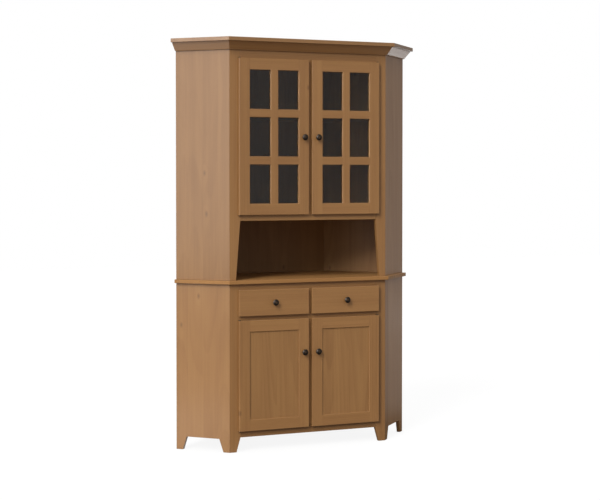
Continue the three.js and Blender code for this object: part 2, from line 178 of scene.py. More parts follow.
# Magnetic catches. Case, pole and strike plate: width, height, depth and the radius of the edges.
CATCH_WIDTH = 0.011
CATCH_CASE = (CATCH_WIDTH, 0.036, 0.014, 0.0015)
CATCH_POLE = (0.0016, 0.028, 0.004, 0.0004)
CATCH_PLATE = (0.010, 0.034, 0.0009, 0.0004)
CATCH_DROP = 0.060
CATCH_INSET = 0.001
CATCH_SCREW_BACK = 0.0077
CATCH_SCREW_APART = 0.01008
POLE_INSET = 0.0004
POLE_APART = 0.0028

# Rivets: the radius of a head, and its rise
RIVET = 0.0026
RIVET_RISE = 0.4 * RIVET
RIVET_STEPS = 24

# Stained wood, as linear colours
WOOD_LIGHT = (0.300, 0.152, 0.0515, 1.0)
WOOD_DARK = (0.214, 0.0985, 0.030, 1.0)
WOOD_KNOT = (0.090, 0.036, 0.011, 1.0)
# The back boards are darkened by this share, a painted shade of the cupboard's inside
INSIDE_PAINTED_SHADE = 0.86

# Clear-finished pale wood of the drawer boxes
PALE_LIGHT = (0.600, 0.430, 0.240, 1.0)
PALE_DARK = (0.450, 0.290, 0.140, 1.0)
PALE_KNOT = (0.200, 0.110, 0.045, 1.0)

STAINED = (WOOD_LIGHT, WOOD_DARK, WOOD_KNOT)
PALE = (PALE_LIGHT, PALE_DARK, PALE_KNOT)

# How light or dark a board is beside the others, from the end of its name. Most of these are painted light
# and shade: the bottom rail and the right base stile are darkened as painted shadow of the doors, the crown's
# front and left side and the counter board are lightened as painted light, and the left side panels, which
# face the lamps, are darkened as painted shade. The panels and the cap are a little darker.
BOARD_TONES_AND_PAINTED_LIGHT = {
    "bottom_rail": 0.84,
    "base_stile_right": 0.92,
    "_panel": 0.93,
    "crown_cap": 0.86,
    "crown_front": 1.10,
    "crown_side_left": 1.12,
    "hutch_side_left": 0.85,
    "base_side_left": 0.95,
    "counter_board": 1.08,
}
SIDE_CONTRAST = 0.7

# The log of a stave, in metres: the shift of its pattern, and how its heart lies, leans and bends. Scales are
# grains a metre across, into and along the board.
LOG_APART = 3.0
LOG_APART_ALONG = 23.0
HEART_SWAY = 0.09
HEART_DEPTH = 0.05
HEART_DEPTH_SPREAD = 0.06
HEART_LEAN = 0.05
HEART_BEND = 0.03
BEND_ACROSS = (2.0, 2.0, 0.5)
BEND_INWARDS = (3.0, 3.0, 0.6)

# Growth rings: width and waves in metres, unevenness, and where late wood starts, is full and ends
RING = 0.0062
RING_WAVES = (30.0, 30.0, 2.5)
RING_WAVE = 0.002
RING_CHANGES = (60.0, 1.0, 1.0)
RING_UNEVEN = 2.2
RING_DICE = 5.0
RING_FAINTEST = 0.25
LATE_WOOD = (0.15, 0.88)
LATE_WOOD_END = (0.90, 1.0)

# Knots: cells a metre, which cells have one, half axes in metres of each oval, and how it fades
KNOT_CELLS = (9.0, 2.4)
KNOT_CHANCE = (0.86, 0.88)
KNOT_PUSH = (0.018, 0.045)
KNOT_PUSH_REACH = 0.009
KNOT_HALO = (0.016, 0.075)
KNOT_CORE = (0.0040, 0.0070)
KNOT_CORE_FADE = (0.25, 0.75, 0.0, 0.62)
KNOT_RIM = (0.0085, 0.017)
KNOT_RIM_FADE = (0.15, 0.9, 0.0, 0.42)

# Tone: shares of rings, board and knot halo, and layers of noise with their share, scale and detail
FIBRES = (900.0, 900.0, 22.0)
RING_SHARE = 0.24
BOARD_SHARE = 0.30
HALO_SHARE = -0.35
TONE_SHIFT = -0.12
TONE_LAYERS = (
    (0.75, (26.0, 26.0, 0.9), 3.0),
    (0.60, (110.0, 110.0, 2.6), 3.0),
    (0.55, (6.0, 6.0, 1.8), 2.0),
    (0.45, FIBRES, 2.0),
)
PORES = (1500.0, 1500.0, 150.0)
PORE_EDGE = (0.14, 0.22)
PORE_SHADE = 0.22
PORE_DEPTH = 0.6

# Varnish. A relief is a strength and a depth in metres.
WOOD_ROUGHNESS = 0.47
TONE_ROUGHNESS = 0.08
GLOSS = 0.35
LOW_GLOSS = 0.05
CAP_GLOSS = 0.55
SPECULAR_LEAST = 0.25
SPECULAR_GAIN = 0.7
COAT_ROUGHNESS = 0.18
GRAIN_RELIEF = (0.25, 0.0003)

# Metals, felt and moulded plastic, as linear colours
BRONZE_DARK = (0.052, 0.041, 0.034, 1.0)
# Bronze polished by hands; on the knobs it also paints a highlight in the middle of the dome
BRONZE_WORN_AND_HIGHLIGHT = (0.210, 0.135, 0.080, 1.0)
STEEL_CLEAN = (0.42, 0.41, 0.39, 1.0)
STEEL_DULL = (0.26, 0.25, 0.24, 1.0)
BROWNED_DARK = (0.085, 0.060, 0.042, 1.0)
BROWNED_WORN = (0.150, 0.110, 0.080, 1.0)
FELT_COLOUR = (0.120, 0.080, 0.050, 1.0)
PLASTIC_COLOUR = (0.105, 0.060, 0.032, 1.0)
FINE_DETAIL = 3.0
CLOUDS = (160.0, 160.0, 160.0)
SPECKS = (1400.0, 1400.0, 1400.0)
SPECK_SHARE = 0.5
WEAR_AND_HIGHLIGHT_EDGE = (0.35, 0.95)
WEAR_AND_HIGHLIGHT_SMOOTHING = -0.4
DULLNESS = (0.1, 0.9)
METAL_RELIEF = (0.2, 0.0001)
MATT_RELIEF = (0.3, 0.0002)
MATT_SHADE = 0.6
MOTTLE = (-0.25, 0.25)

# Two lamps at the front's left: azimuth from the front, height and spread in degrees, and level. A lamp of
# level 1 lights a board that faces it as its colour is.
LAMP_DISTANCE = 9.0
LAMPS = {"high_lamp": (-49.0, 42.0, 20.0, 0.48), "low_lamp": (-50.0, 24.0, 14.0, 0.47)}
LAMP_COLOUR = (1.0, 0.985, 0.96)
AMBIENT_LOW = 0.42
AMBIENT_HIGH = 1.10

# What gloss reflects: levels, edges as two values of a direction, and a soft box: direction, reach, level
FRONT_SHEEN = 0.27
FRONT_RIGHT_SHEEN = 0.20
FRONT_RIGHT_EDGE = (0.37, 0.44)
SIDE_SHEEN = 0.40
SIDE_EDGE = (-0.8, -0.3)
BEHIND_EDGE = (0.55, 1.0)
LEFT_SHEEN = 3.6
LEFT_EDGE = (-0.9, -0.4)
LEFT_END = (-0.26, -0.08)
SOFT_BOX = ((-0.32, -0.91, 0.27), 0.24, 5.0)
CARD_FULL = 0.3

# The floor: half width, levels in gloss, where its right part begins, and two white cards on it, each with
# its centre, reach and level
FLOOR_HALF = 14.0
FLOOR_SHEEN = 0.06
RIGHT_FLOOR_SHEEN = 0.40
RIGHT_FLOOR_ACROSS = (0.8, 1.6)
RIGHT_FLOOR_BACK = (-1.5, -0.2)
FLOOR_CARDS = (((5.3, 4.2, 0.0), 1.7, 3.6), ((-1.6, 0.3, 0.0), 1.6, 2.0))
FLOOR_ROUGHNESS = 0.9
FLOOR_SEEN = (0.95, 0.95, 0.95, 1.0)
FLOOR_BOUNCE = (0.30, 0.26, 0.22, 1.0)
FLOOR_GLOW = 0.90
WHITE = (1.0, 1.0, 1.0, 1.0)

# Glass, and how much of the lamps' light it lets through
GLASS_COLOUR = (0.93, 0.96, 0.95, 1.0)
GLASS_ROUGHNESS = 0.02
GLASS_BENDING = 1.52
GLASS_SHADE = (0.95, 0.96, 0.95, 1.0)


def put(socket, value):
    """Gives an input a plain value, or links it when the value is another node's output."""
    if isinstance(value, bpy.types.NodeSocket):
        socket.id_data.links.new(value, socket)
    else:
        socket.default_value = value


def fill(node, values):
    """Gives inputs of a node their values, by name or by number."""
    for name, value in values.items():
        put(node.inputs[name], value)


def fed(kind, *values):
    """A node fed with these values in the order of its inputs, in the tree that one of them comes from."""
    tree = next(value.id_data for value in values if isinstance(value, bpy.types.NodeSocket))
    node = tree.nodes.new("ShaderNode" + kind)
    fill(node, dict(enumerate(values)))
    return node


def calc(operation, *values):
    node = fed("Math", *values)
    node.operation = operation
    return node.outputs[0]


def total(*values):
    return reduce(partial(calc, "ADD"), values)


def product(*values):
    """Values multiplied together. For masks, this is where all of them hold."""
    return reduce(partial(calc, "MULTIPLY"), values)


def less(value, taken):
    return calc("SUBTRACT", value, taken)


def distance(a, b):
    return calc("ABSOLUTE", less(a, b))


def squares(a, b):
    return total(calc("POWER", a, 2.0), calc("POWER", b, 2.0))


def gathered(x, y, z):
    return fed("CombineXYZ", x, y, z).outputs[0]


def parted(vector):
    return fed("SeparateXYZ", vector).outputs[:]


def own_place(tree):
    """Where a point lies in the row frame, because each finished object stands at the origin."""
    return tree.nodes.new("ShaderNodeTexCoord").outputs["Object"]


def stretched(vector, scale):
    node = fed("Mapping", vector)
    put(node.inputs["Scale"], scale)
    return node.outputs[0]


def noise(vector, scale, detail=2.0):
    """Smooth noise about zero, from -0.5 to 0.5, whose grain is 1 / scale long in each direction."""
    node = fed("TexNoise", stretched(vector, scale))
    fill(node, {"Scale": 1.0, "Detail": detail})
    return less(node.outputs["Fac"], 0.5)


def dice(a, b):
    """Three random numbers from 0 to 1 for each pair of whole numbers."""
    node = fed("TexWhiteNoise", gathered(a, b, 0.0))
    node.noise_dimensions = "2D"
    return parted(node.outputs["Color"])


def ramp(value, low, high, start=0.0, end=1.0):
    """Smooth step: start below low, end above high."""
    node = fed("MapRange", value, low, high, start, end)
    node.interpolation_type = "SMOOTHSTEP"
    return node.outputs["Result"]


def blend(share, a, b):
    """A colour between two colours. A Mix node has colours in inputs 6 and 7 and output 2."""
    node = fed("Mix", share)
    node.data_type = "RGBA"
    fill(node, {6: a, 7: b})
    return node.outputs[2]


def blend_values(share, a, b):
    """A number between two numbers. A Mix node has numbers in inputs 2 and 3."""
    node = fed("Mix", share)
    fill(node, {2: a, 3: b})
    return node.outputs[0]


def bumped(surface, relief, height):
    """Tilts a surface's normals by the slope of a height."""
    node = surface.id_data.nodes.new("ShaderNodeBump")
    fill(node, {"Strength": relief[0], "Distance": relief[1], "Height": height})
    put(surface.inputs["Normal"], node.outputs["Normal"])


def new_group(name, **inputs):
    """A node group that takes inputs of each kind and gives a surface's colour, roughness and height."""
    group = bpy.data.node_groups.new(name, "ShaderNodeTree")
    sockets = [("INPUT", kind, label) for kind, labels in inputs.items() for label in labels]
    sockets += [("OUTPUT", "Color", "Color"), ("OUTPUT", "Float", "Roughness"), ("OUTPUT", "Float", "Height")]
    for way, kind, label in sockets:
        group.interface.new_socket(label, in_out=way, socket_type="NodeSocket" + kind)
    return group, group.nodes.new("NodeGroupInput").outputs, group.nodes.new("NodeGroupOutput").inputs


def new_material(name):
    material = bpy.data.materials.new(name)
    material.use_nodes = True
    return material, material.node_tree, material.node_tree.nodes["Principled BSDF"]


def added(name, data):
    """Puts a new object into the scene."""
    made = bpy.data.objects.new(name, data)
    bpy.context.collection.objects.link(made)
    return made


def wood_figure():
    """Figure of a stained knotty board, in grain space: z along the grain, x across the face, y into it.

    Each stave is a slice of its own log. Growth rings are whole steps of the distance from the log's heart,
    which is slightly tilted. They are bent by slow noise and pushed aside round small knots. Streaks and
    fibres are noise drawn out along the grain. All of them move one tone between the light and the dark
    colour."""
    tree, given, result = new_group(
        "wood_figure", Vector=["Grain"], Float=["Seed", "Stave", "Contrast"], Color=["Light", "Dark", "Knot"]
    )
    x, y, z = parted(given["Grain"])
    stave = calc("FLOOR", calc("DIVIDE", x, given["Stave"]))
    first, second, third = dice(stave, given["Seed"])
    middle = product(total(stave, 0.5), given["Stave"])
    off_middle = less(x, middle)
    own_z = total(z, product(third, LOG_APART_ALONG))
    own_x = total(off_middle, product(second, LOG_APART))
    place = gathered(own_x, y, own_z)

    knots = tree.nodes.new("ShaderNodeTexVoronoi")
    knots.voronoi_dimensions = "2D"
    cells = stretched(gathered(own_x, own_z, 0.0), (*KNOT_CELLS, 1.0))
    fill(knots, {"Vector": cells, "Scale": 1.0})
    to_metres = (1 / KNOT_CELLS[0], 1 / KNOT_CELLS[1], 1.0)
    knot_x, knot_z, _ = parted(stretched(knots.outputs["Position"], to_metres))
    kept, _, _ = parted(knots.outputs["Color"])
    has_knot = ramp(kept, *KNOT_CHANCE)
    off_x = less(own_x, knot_x)
    off_z = less(own_z, knot_z)

    def round_knot(half_width, half_length):
        """Fades from 1 at the knot's heart to 0 past an oval of these half axes, in metres."""
        oval = squares(calc("DIVIDE", off_x, half_width), calc("DIVIDE", off_z, half_length))
        return product(calc("EXPONENT", product(oval, -1.0)), has_knot)

    sway = product(total(first, -0.5), HEART_SWAY)
    lean = product(total(third, -0.5), HEART_LEAN)
    bend_across = product(noise(place, BEND_ACROSS), HEART_BEND)
    bend_inwards = product(noise(place, BEND_INWARDS), HEART_BEND)
    heart_x = total(off_middle, sway, bend_across)
    heart_y = total(y, HEART_DEPTH, product(second, HEART_DEPTH_SPREAD))
    heart_y = total(heart_y, product(z, lean), bend_inwards)
    radius = calc("SQRT", squares(heart_x, heart_y))
    radius = total(radius, product(round_knot(*KNOT_PUSH), KNOT_PUSH_REACH))
    radius = total(radius, product(noise(place, RING_WAVES), RING_WAVE))
    uneven = noise(gathered(radius, 0.0, 0.0), RING_CHANGES)
    rings = total(calc("DIVIDE", radius, RING), product(uneven, RING_UNEVEN))
    part = calc("FRACT", rings)
    late_wood = product(ramp(part, *LATE_WOOD), ramp(part, *LATE_WOOD_END, 1.0, 0.0))
    strength, _, _ = dice(calc("FLOOR", rings), RING_DICE)
    late_wood = product(late_wood, total(RING_FAINTEST, strength))

    layers = [(RING_SHARE, product(late_wood, given["Contrast"]))]
    layers += [(share, noise(place, scale, detail)) for share, scale, detail in TONE_LAYERS]
    layers += [(BOARD_SHARE, total(first, -0.5)), (HALO_SHARE, round_knot(*KNOT_HALO))]
    tone = 0.5
    for share, value in layers:
        tone = total(tone, product(value, share))
    tone = total(tone, TONE_SHIFT)
    pores = ramp(noise(place, PORES, 1.0), *PORE_EDGE)
    colour = blend(tone, given["Light"], given["Dark"])
    colour = blend(product(pores, PORE_SHADE), colour, given["Knot"])
    core = ramp(round_knot(*KNOT_CORE), *KNOT_CORE_FADE)
    rim = ramp(round_knot(*KNOT_RIM), *KNOT_RIM_FADE)
    colour = blend(calc("MAXIMUM", core, rim), colour, given["Knot"])
    put(result["Color"], colour)
    put(result["Roughness"], total(WOOD_ROUGHNESS, product(tone, TONE_ROUGHNESS)))
    height = product(noise(place, FIBRES), 0.5)
    put(result["Height"], less(height, product(pores, PORE_DEPTH)))
    return tree


FIGURE = wood_figure()


def metal_figure():
    """Handled metal: slow clouds and fine specks of dullness. Where the input mask and clouds are strong, the
    lighter colour shows and the metal is smoother. On the knobs that mask also holds a painted highlight in
    the middle of the dome."""
    values = ["Wear_and_highlight", "Polished", "Dull"]
    tree, given, result = new_group("metal_figure", Color=["Dark", "Worn_and_highlight"], Float=values)
    place = own_place(tree)
    clouds = noise(place, CLOUDS, FINE_DETAIL)
    specks = noise(place, SPECKS)
    rubbed_and_highlight = total(given["Wear_and_highlight"], clouds, product(specks, SPECK_SHARE))
    rubbed_and_highlight = ramp(rubbed_and_highlight, *WEAR_AND_HIGHLIGHT_EDGE)
    put(result["Color"], blend(rubbed_and_highlight, given["Dark"], given["Worn_and_highlight"]))
    dullness = total(0.5, clouds, product(rubbed_and_highlight, WEAR_AND_HIGHLIGHT_SMOOTHING))
    put(result["Roughness"], ramp(dullness, *DULLNESS, given["Polished"], given["Dull"]))
    put(result["Height"], specks)
    return tree


METAL = metal_figure()


def lie(across, along):
    """The turn from the row frame to grain space, for a board whose width and grain have these directions."""
    through = Vector(along).cross(Vector(across))
    return Matrix((across, through, along)).to_euler()


def figured(tree, across, along, seed, stave=WHOLE_BOARD, contrast=1.0, tone=1.0, colours=STAINED):
    """One board's figure, laid along its grain, and moved to its own place in the stave pattern."""
    turn = tree.nodes.new("ShaderNodeMapping")
    start = (STAVE_STEP * (seed % STAVE_STEPS), 0.0, 0.0)
    fill(turn, {"Vector": own_place(tree), "Rotation": lie(across, along), "Location": start})
    group = tree.nodes.new("ShaderNodeGroup")
    group.node_tree = FIGURE
    fill(group, {"Grain": turn.outputs["Vector"], "Seed": seed, "Stave": stave, "Contrast": contrast})
    for name, colour in zip(("Light", "Dark", "Knot"), colours):
        put(group.inputs[name], (*(tone * part for part in colour[:3]), 1.0))
    return group.outputs


def wood(name, across, along, seed, gloss=GLOSS, **looks):
    """Stained wood under a satin varnish, for one board or one glued-up panel."""
    material, tree, surface = new_material(name)
    board = figured(tree, across, along, seed, **looks)
    varnish(surface, board["Color"], board["Roughness"], board["Height"], gloss)
    return material


def varnish(surface, colour, roughness, height, gloss=GLOSS):
    bumped(surface, GRAIN_RELIEF, height)
    fill(surface, {
        "Base Color": colour,
        "Roughness": roughness,
        "Specular IOR Level": SPECULAR_LEAST + SPECULAR_GAIN * gloss,
        "Coat Weight": gloss,
        "Coat Roughness": COAT_ROUGHNESS,
    })


def from_middle(tree, low, high):
    """How far a point is from a box's middle: across, in depth and in height."""
    middle = (Vector(low) + Vector(high)) / 2
    return [distance(part, centre) for part, centre in zip(parted(own_place(tree)), middle)]


def framed_wood(name, seed, muntins):
    """A door frame: the stiles' grain runs up and the rails' across. One muntin runs up from rail to rail,
    and the others run across between it and the stiles. A fine dark line marks where rails meet stiles."""
    material, tree, surface = new_material(name)
    low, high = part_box(name)
    aside, _, apart = from_middle(tree, low, high)
    inside_width = (high[0] - low[0]) / 2 - DOOR_STILE
    inside_height = (high[2] - low[2]) / 2 - DOOR_STILE
    between = calc("LESS_THAN", aside, inside_width)
    rails = calc("GREATER_THAN", apart, inside_height)
    across = rails
    if muntins:
        pitch = (2 * inside_height + MUNTIN) / LIGHT_ROWS
        level = distance(apart, pitch / 2)
        beside = calc("GREATER_THAN", aside, MUNTIN / 2)
        crossing = product(calc("LESS_THAN", level, MUNTIN / 2), beside)
        across = calc("MAXIMUM", rails, crossing)
    across = product(across, between)
    upright = figured(tree, ACROSS, UP, seed)
    lying = figured(tree, UP, ACROSS, seed + 0.5)
    off_line = distance(aside, inside_width)
    line = product(calc("LESS_THAN", off_line, JOINT_LINE / 2), rails)
    colour = blend(across, upright["Color"], lying["Color"])
    colour = blend(product(line, JOINT_SHADE), colour, WOOD_KNOT)
    roughness = blend_values(across, upright["Roughness"], lying["Roughness"])
    height = blend_values(across, upright["Height"], lying["Height"])
    varnish(surface, colour, roughness, height)
    return material


def drawer_wood(name, seed):
    """A drawer box of pale wood, dovetailed at its four corners. Tails of the sides and pins of the ends
    share each corner. A tail is as wide as a share of the pitch that grows towards the end of the side, and a
    fine dark line runs round it."""
    material, tree, surface = new_material(name)
    low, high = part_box(name)
    half_width = (high[0] - low[0]) / 2
    half_depth = (high[1] - low[1]) / 2
    aside, along, apart = from_middle(tree, low, high)
    side = calc("GREATER_THAN", aside, half_width - DRAWER_WALL)
    deep = calc("DIVIDE", less(along, half_depth - DRAWER_WALL), DRAWER_WALL)
    corner = product(side, calc("GREATER_THAN", deep, 0.0))
    turn = calc("FRACT", total(calc("DIVIDE", apart, TAIL_PITCH), 0.5))
    level = distance(turn, 0.5)
    tail = total(TAIL_SHARE, product(deep, TAIL_FLARE))
    pins = product(corner, calc("GREATER_THAN", level, tail))
    near_tail = calc("LESS_THAN", distance(level, tail), JOINT_LINE / TAIL_PITCH)
    seam = product(corner, near_tail)
    half_line = 0.5 * JOINT_LINE / DRAWER_WALL
    scribed = product(side, calc("LESS_THAN", calc("ABSOLUTE", deep), half_line))
    side = less(side, pins)
    sides = figured(tree, UP, BACKWARDS, seed, colours=PALE)
    ends = figured(tree, UP, ACROSS, seed + 0.5, colours=PALE)
    colour = blend(side, ends["Color"], sides["Color"])
    lines = product(calc("MAXIMUM", seam, scribed), JOINT_SHADE)
    colour = blend(lines, colour, PALE_KNOT)
    roughness = blend_values(side, ends["Roughness"], sides["Roughness"])
    height = blend_values(side, ends["Height"], sides["Height"])
    varnish(surface, colour, roughness, height)
    return material


def corners_of(node):
    """Every vertex of a CAD node, as rows of x, y and z."""
    mesh = frame["nodes"][node].data
    points = np.empty(3 * len(mesh.vertices))
    mesh.vertices.foreach_get("co", points)
    return points.reshape(-1, 3)


def towards(tree, direction):
    """How far along a direction a point lies."""
    node = fed("VectorMath", own_place(tree), direction)
    node.operation = "DOT_PRODUCT"
    return node.outputs["Value"]


def back_wood(node, along, outwards, seed):
    """A back board of vertical staves, nailed from outside. The nail heads are round spots at an even pitch,
    one row at a set inset from each of its four edges, and only on the outer face."""
    material, tree, surface = new_material(node)
    # The board's colour is darkened by the painted shade of the inside
    board = figured(tree, along, UP, seed, stave=STAVE, tone=INSIDE_PAINTED_SHADE)
    corners = corners_of(node)
    beside, above = towards(tree, along), towards(tree, UP)
    outer = float((corners @ np.array(outwards)).max())
    face = calc("GREATER_THAN", towards(tree, outwards), outer - NAIL_FACE)
    heads = 0.0
    for place, across, direction in ((beside, above, along), (above, beside, UP)):
        reach = corners @ np.array(direction)
        middle = float(reach.max() + reach.min()) / 2
        half = float(reach.max() - reach.min()) / 2
        from_row = less(distance(place, middle), half - NAIL_INSET)
        turn = calc("FRACT", calc("DIVIDE", across, NAIL_PITCH))
        from_nail = product(less(turn, 0.5), NAIL_PITCH)
        off_nail = calc("SQRT", squares(from_row, from_nail))
        heads = calc("MAXIMUM", heads, ramp(off_nail, NAIL_FULL, NAIL, 1.0, 0.0))
    heads = product(heads, face)
    put(surface.inputs["Metallic"], product(heads, NAIL_METAL))
    colour = blend(heads, board["Color"], STEEL_DULL)
    height = less(board["Height"], product(heads, NAIL_SUNK))
    varnish(surface, colour, board["Roughness"], height, gloss=LOW_GLOSS)
    return material


def camera():
    data = bpy.data.cameras.new("camera")
    data.lens = CAMERA_LENS
    data.sensor_width = CAMERA_SENSOR
    data.sensor_fit = "HORIZONTAL"
    data.shift_y = CAMERA_SHIFT_UP
    data.clip_end = CAMERA_REACH
    placed = added("camera", data)
    placed.location = CAMERA_PLACE
    placed.rotation_euler = (math.pi / 2 + CAMERA_PITCH, 0.0, -CAMERA_YAW)
    bpy.context.scene.camera = placed


def sight(tree):
    """Two masks for rays that no matt surface has scattered: those that come straight from the camera or
    through glass, and those that a glossy surface has turned."""
    path = tree.nodes.new("ShaderNodeLightPath").outputs
    clean = calc("LESS_THAN", path["Diffuse Depth"], 0.5)
    glossed = calc("GREATER_THAN", path["Glossy Depth"], 0.5)
    straight = less(1.0, glossed)
    seen = calc("MAXIMUM", path["Is Camera Ray"], path["Is Transmission Ray"])
    reflected = calc("MAXIMUM", path["Is Glossy Ray"], path["Is Transmission Ray"])
    return product(seen, straight, clean), product(reflected, glossed, clean)


def mixed(share, a, b):
    return fed("MixShader", share, a, b).outputs[0]


def card(place, centre, reach, level):
    """A bright round spot that fades out at its reach."""
    apart = fed("VectorMath", place, centre)
    apart.operation = "DISTANCE"
    return ramp(apart.outputs["Value"], CARD_FULL * reach, reach, level, 0.0)


def studio():
    """White to the camera and through glass. To gloss it is bright behind and on the left and dim elsewhere,
    and what it lends to matt surfaces grows towards the top."""
    world = bpy.data.worlds.new("studio")
    world.use_nodes = True
    bpy.context.scene.world = world
    tree = world.node_tree

    def sky(strength):
        node = tree.nodes.new("ShaderNodeBackground")
        fill(node, {"Color": WHITE, "Strength": strength})
        return node.outputs[0]

    direction = tree.nodes.new("ShaderNodeTexCoord").outputs["Generated"]
    right, back, up = parted(direction)
    to_eye, to_gloss = sight(tree)
    in_front = ramp(right, *FRONT_RIGHT_EDGE, FRONT_SHEEN, FRONT_RIGHT_SHEEN)
    around = ramp(back, *SIDE_EDGE, in_front, SIDE_SHEEN)
    around = total(around, ramp(back, *BEHIND_EDGE, 0.0, 1.0 - SIDE_SHEEN))
    at_left = ramp(right, *LEFT_EDGE, LEFT_SHEEN, 0.0)
    at_left = product(at_left, ramp(back, *LEFT_END, 1.0, 0.0))
    around = total(around, at_left, card(direction, *SOFT_BOX))
    above = total(AMBIENT_LOW, product(up, AMBIENT_HIGH - AMBIENT_LOW))
    dim = mixed(to_gloss, sky(above), sky(around))
    put(tree.nodes["World Output"].inputs["Surface"], mixed(to_eye, dim, sky(1.0)))


def floor():
    """A pale floor that looks white, takes the cupboard's shadow, and throws little light back up."""
    material, tree, surface = new_material("studio_floor")
    to_eye, to_gloss = sight(tree)
    fill(surface, {
        "Base Color": blend(to_eye, FLOOR_BOUNCE, FLOOR_SEEN),
        "Roughness": FLOOR_ROUGHNESS,
        "Specular IOR Level": 0.0,
    })
    place = own_place(tree)
    right, back, _ = parted(place)
    at_right = product(ramp(right, *RIGHT_FLOOR_ACROSS), ramp(back, *RIGHT_FLOOR_BACK))
    sheen = total(FLOOR_SHEEN, product(at_right, RIGHT_FLOOR_SHEEN - FLOOR_SHEEN))
    for centre, reach, level in FLOOR_CARDS:
        sheen = total(sheen, card(place, centre, reach, level))
    share = total(product(to_eye, FLOOR_GLOW), to_gloss)
    glow = tree.nodes.new("ShaderNodeEmission")
    fill(glow, {"Color": WHITE, "Strength": total(to_eye, product(to_gloss, sheen))})
    looks = mixed(share, surface.outputs[0], glow.outputs[0])
    put(tree.nodes["Material Output"].inputs["Surface"], looks)
    corners = [(x * FLOOR_HALF, y * FLOOR_HALF, 0) for x, y in ((-1, -1), (1, -1), (1, 1), (-1, 1))]
    mesh = bpy.data.meshes.new("floor")
    mesh.from_pydata(corners, [], [(0, 1, 2, 3)])
    mesh.materials.append(material)
    added("floor", mesh)


def lamp(name, azimuth, height, spread, level):
    """One far lamp, so that its light is the same from top to bottom. Azimuth 0 is straight in front."""
    azimuth, height = math.radians(azimuth), math.radians(height)
    flat = math.cos(height)
    away = Vector((flat * math.sin(azimuth), -flat * math.cos(azimuth), math.sin(height)))
    data = bpy.data.lights.new(name, "SUN")
    data.angle = math.radians(spread)
    data.energy = level * math.pi
    data.color = LAMP_COLOUR
    placed = added(name, data)
    placed.location = away * LAMP_DISTANCE
    placed.rotation_euler = away.to_track_quat("Z", "Y").to_euler()


def glass():
    """Clear glass. Light from the lamps goes straight through, a little weakened, and reaches the shelves."""
    material, tree, surface = new_material("door_glass")
    clear = tree.nodes.new("ShaderNodeBsdfTransparent")
    put(clear.inputs["Color"], GLASS_SHADE)
    to_lamp = tree.nodes.new("ShaderNodeLightPath").outputs["Is Shadow Ray"]
    seen = mixed(to_lamp, surface.outputs[0], clear.outputs[0])
    put(tree.nodes["Material Output"].inputs["Surface"], seen)
    fill(surface, {
        "Base Color": GLASS_COLOUR,
        "Roughness": GLASS_ROUGHNESS,
        "Transmission Weight": 1.0,
        "IOR": GLASS_BENDING,
    })
    return material


def metal(name, dark, worn_and_highlight, polished, dull, metallic):
    """Metal whose turned pieces are brighter where their own attribute says: polish by hands at a knob's rim,
    and a painted highlight in the middle of its dome.
    """
    material, tree, surface = new_material(name)
    group = tree.nodes.new("ShaderNodeGroup")
    group.node_tree = METAL
    rub_and_highlight = tree.nodes.new("ShaderNodeAttribute")
    rub_and_highlight.attribute_name = "rub_and_highlight"
    wear_and_highlight = rub_and_highlight.outputs["Fac"]
    fill(group, {"Dark": dark, "Worn_and_highlight": worn_and_highlight, "Wear_and_highlight": wear_and_highlight, "Polished": polished, "Dull": dull})
    bumped(surface, METAL_RELIEF, group.outputs["Height"])
    fill(surface, {
        "Base Color": group.outputs["Color"],
        "Roughness": group.outputs["Roughness"],
        "Metallic": metallic,
    })
    return material


def matt(name, colour, grain, roughness):
    """Felt or moulded plastic: one colour, mottled by a fine noise."""
    material, tree, surface = new_material(name)
    mottle = noise(own_place(tree), (grain, grain, grain), FINE_DETAIL)
    darker = (*(MATT_SHADE * part for part in colour[:3]), 1.0)
    shade = blend(ramp(mottle, *MOTTLE), darker, colour)
    fill(surface, {"Base Color": shade, "Roughness": roughness})
    bumped(surface, MATT_RELIEF, mottle)
    return material


def bands(here, there, around):
    """Faces between rings of points. Each ring starts at a number in here, and the next at one in there."""
    this = np.arange(around)
    after = np.roll(this, -1)
    return np.stack((here + this, here + after, there + after, there + this), axis=-1).reshape(-1, 4)


def lids(around, last):
    """Flat faces on the first ring, turned over, and on the last, which starts at this number."""
    this = np.arange(around)[None, :]
    return [this[:, ::-1], this + last]


def turned(radius, height, steps):
    """A form turned about z: every point of the profile goes round a circle of its radius at its height. The
    profile's two ends lie on the axis and are single points."""
    turn = np.linspace(0.0, 2 * math.pi, steps, endpoint=False)
    radius, height = np.asarray(radius), np.asarray(height)
    rings = np.stack((
        np.outer(radius[1:-1], np.cos(turn)),
        np.outer(radius[1:-1], np.sin(turn)),
        np.outer(height[1:-1], np.ones(steps)),
    ), axis=-1)
    points = np.concatenate(([[0.0, 0.0, height[0]]], rings.reshape(-1, 3), [[0.0, 0.0, height[-1]]]))
    first = 1 + steps * np.arange(len(rings) - 1)[:, None]
    last = 1 + steps * (len(rings) - 1)
    this = np.arange(steps)
    after = np.roll(this, -1)
    start = np.stack((np.zeros_like(this), 1 + after, 1 + this), axis=-1)
    end = np.stack((last + this, last + after, np.full_like(this, len(points) - 1)), axis=-1)
    return points, [bands(first, first + steps, steps), start, end]


